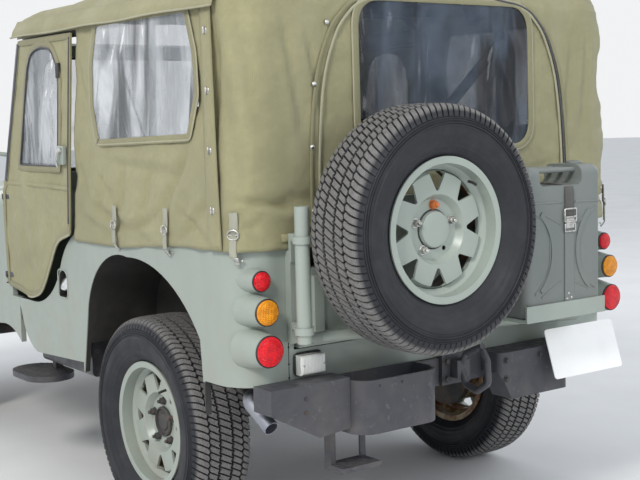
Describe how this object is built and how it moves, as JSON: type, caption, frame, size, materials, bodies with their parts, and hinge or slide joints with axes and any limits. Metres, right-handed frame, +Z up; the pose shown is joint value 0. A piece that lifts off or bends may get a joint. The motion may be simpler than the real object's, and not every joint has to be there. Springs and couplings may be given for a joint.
{
  "type": "soft-top military 4x4 car",
  "caption": "Open military 4x4 car with a canvas top, soft doors, swing rear gate with spare wheel and fuel can, and steering.",
  "frame": {"origin": "on the ground, midway along the length and width of the car", "axes": "+X to the car's left side, +Y to its rear, +Z up"},
  "size_m": [1.876, 3.752, 1.842],
  "materials": {
    "body_paint": "semi-matt grey-green paint",
    "chassis_black": "satin black paint",
    "canvas": "olive coated canvas",
    "film": "clear soft window film",
    "glass": "clear flat glass",
    "tyre": "black tread rubber",
    "cast": "dark casting",
    "pad": "dark green vinyl",
    "black_plastic": "black hard rubber",
    "lens": "moulded lamp lens",
    "clear_lens": "fluted clear lens",
    "exhaust_steel": "dull heated steel",
    "plate_white": "blank white plate"
  },
  "bodies": {
    "root": {"chassis_frame": "chassis_black", "body_tub": "body_paint", "scuttle": "body_paint", "front_fenders": "body_paint", "grille": "body_paint", "radiator": "chassis_black", "power_unit": "cast", "front_bumper": "chassis_black", "windshield_frame": "body_paint", "windshield_glass": "glass", "front_axle": "chassis_black", "rear_axle": "chassis_black", "leaf_springs": "chassis_black", "drive_shafts": "chassis_black", "fuel_tank": "chassis_black", "steps": "chassis_black", "seat_frames": "body_paint", "seat_pads": "pad", "bench_pads": "pad", "steering_column": "black_plastic", "roll_hoop": "chassis_black", "top_bows": "chassis_black", "canvas_top": "canvas", "window_film": "film", "hinge_post": "body_paint", "rear_bumperettes": "chassis_black", "tow_hook": "chassis_black", "exhaust": "exhaust_steel", "lamp_housings": "body_paint", "lamp_lenses": "lens", "reversing_lamp": "clear_lens", "headlamps": "clear_lens", "number_plate": "plate_white"},
    "bonnet": {"bonnet": "body_paint"},
    "steering_wheel": {"steering_wheel": "black_plastic"},
    "door_left": {"door_left": "canvas", "door_left_film": "film"},
    "door_right": {"door_right": "canvas", "door_right_film": "film"},
    "rear_gate": {"gate_panel": "body_paint", "spare_carrier": "body_paint", "spare_rim": "body_paint", "spare_tyre": "tyre", "fuel_can": "body_paint"},
    "knuckle_left": {"knuckle_left": "chassis_black"},
    "knuckle_right": {"knuckle_right": "chassis_black"},
    "wheel_front_left": {"wheel_front_left": "body_paint", "tyre_front_left": "tyre"},
    "wheel_front_right": {"wheel_front_right": "body_paint", "tyre_front_right": "tyre"},
    "wheel_rear_left": {"wheel_rear_left": "body_paint", "tyre_rear_left": "tyre"},
    "wheel_rear_right": {"wheel_rear_right": "body_paint", "tyre_rear_right": "tyre"}
  },
  "joints": [
    {"name": "bonnet_hinge", "type": "hinge", "parent": "root", "child": "bonnet", "pos_m": [0, -0.317, 1.104], "axis": [-1, 0, 0], "range_deg": [0, 50]},
    {"name": "door_left_hinge", "type": "hinge", "parent": "root", "child": "door_left", "pos_m": [0.806, -0.118, 1], "axis": [0, 0, -1], "range_deg": [0, 80]},
    {"name": "door_right_hinge", "type": "hinge", "parent": "root", "child": "door_right", "pos_m": [-0.806, -0.118, 1], "axis": [0, 0, 1], "range_deg": [0, 80]},
    {"name": "rear_gate_hinge", "type": "hinge", "parent": "root", "child": "rear_gate", "pos_m": [0.652, 1.645, 0.9], "axis": [0, 0, -1], "range_deg": [0, 105]},
    {"name": "steer_left", "type": "hinge", "parent": "root", "child": "knuckle_left", "pos_m": [0.56, -1.355, 0.356], "axis": [0, 0, 1], "range_deg": [-28, 28]},
    {"name": "steer_right", "type": "hinge", "parent": "root", "child": "knuckle_right", "pos_m": [-0.56, -1.355, 0.356], "axis": [0, 0, 1], "range_deg": [-28, 28]},
    {"name": "steering_wheel_turn", "type": "hinge", "parent": "root", "child": "steering_wheel", "pos_m": [-0.3, 0.129, 1.11], "axis": [0, 0.8, 0.6], "range_deg": [-476, 476]},
    {"name": "spin_front_left", "type": "hinge", "parent": "knuckle_left", "child": "wheel_front_left", "pos_m": [0.6575, -1.355, 0.356], "axis": [1, 0, 0], "continuous": true},
    {"name": "spin_front_right", "type": "hinge", "parent": "knuckle_right", "child": "wheel_front_right", "pos_m": [-0.6575, -1.355, 0.356], "axis": [1, 0, 0], "continuous": true},
    {"name": "spin_rear_left", "type": "hinge", "parent": "root", "child": "wheel_rear_left", "pos_m": [0.6575, 0.87, 0.356], "axis": [1, 0, 0], "continuous": true},
    {"name": "spin_rear_right", "type": "hinge", "parent": "root", "child": "wheel_rear_right", "pos_m": [-0.6575, 0.87, 0.356], "axis": [1, 0, 0], "continuous": true}
  ],
  "couplings": [
    {"joint": "steer_right", "follows": "steer_left", "ratio": 1},
    {"joint": "steering_wheel_turn", "follows": "steer_left", "ratio": 17}
  ]
}
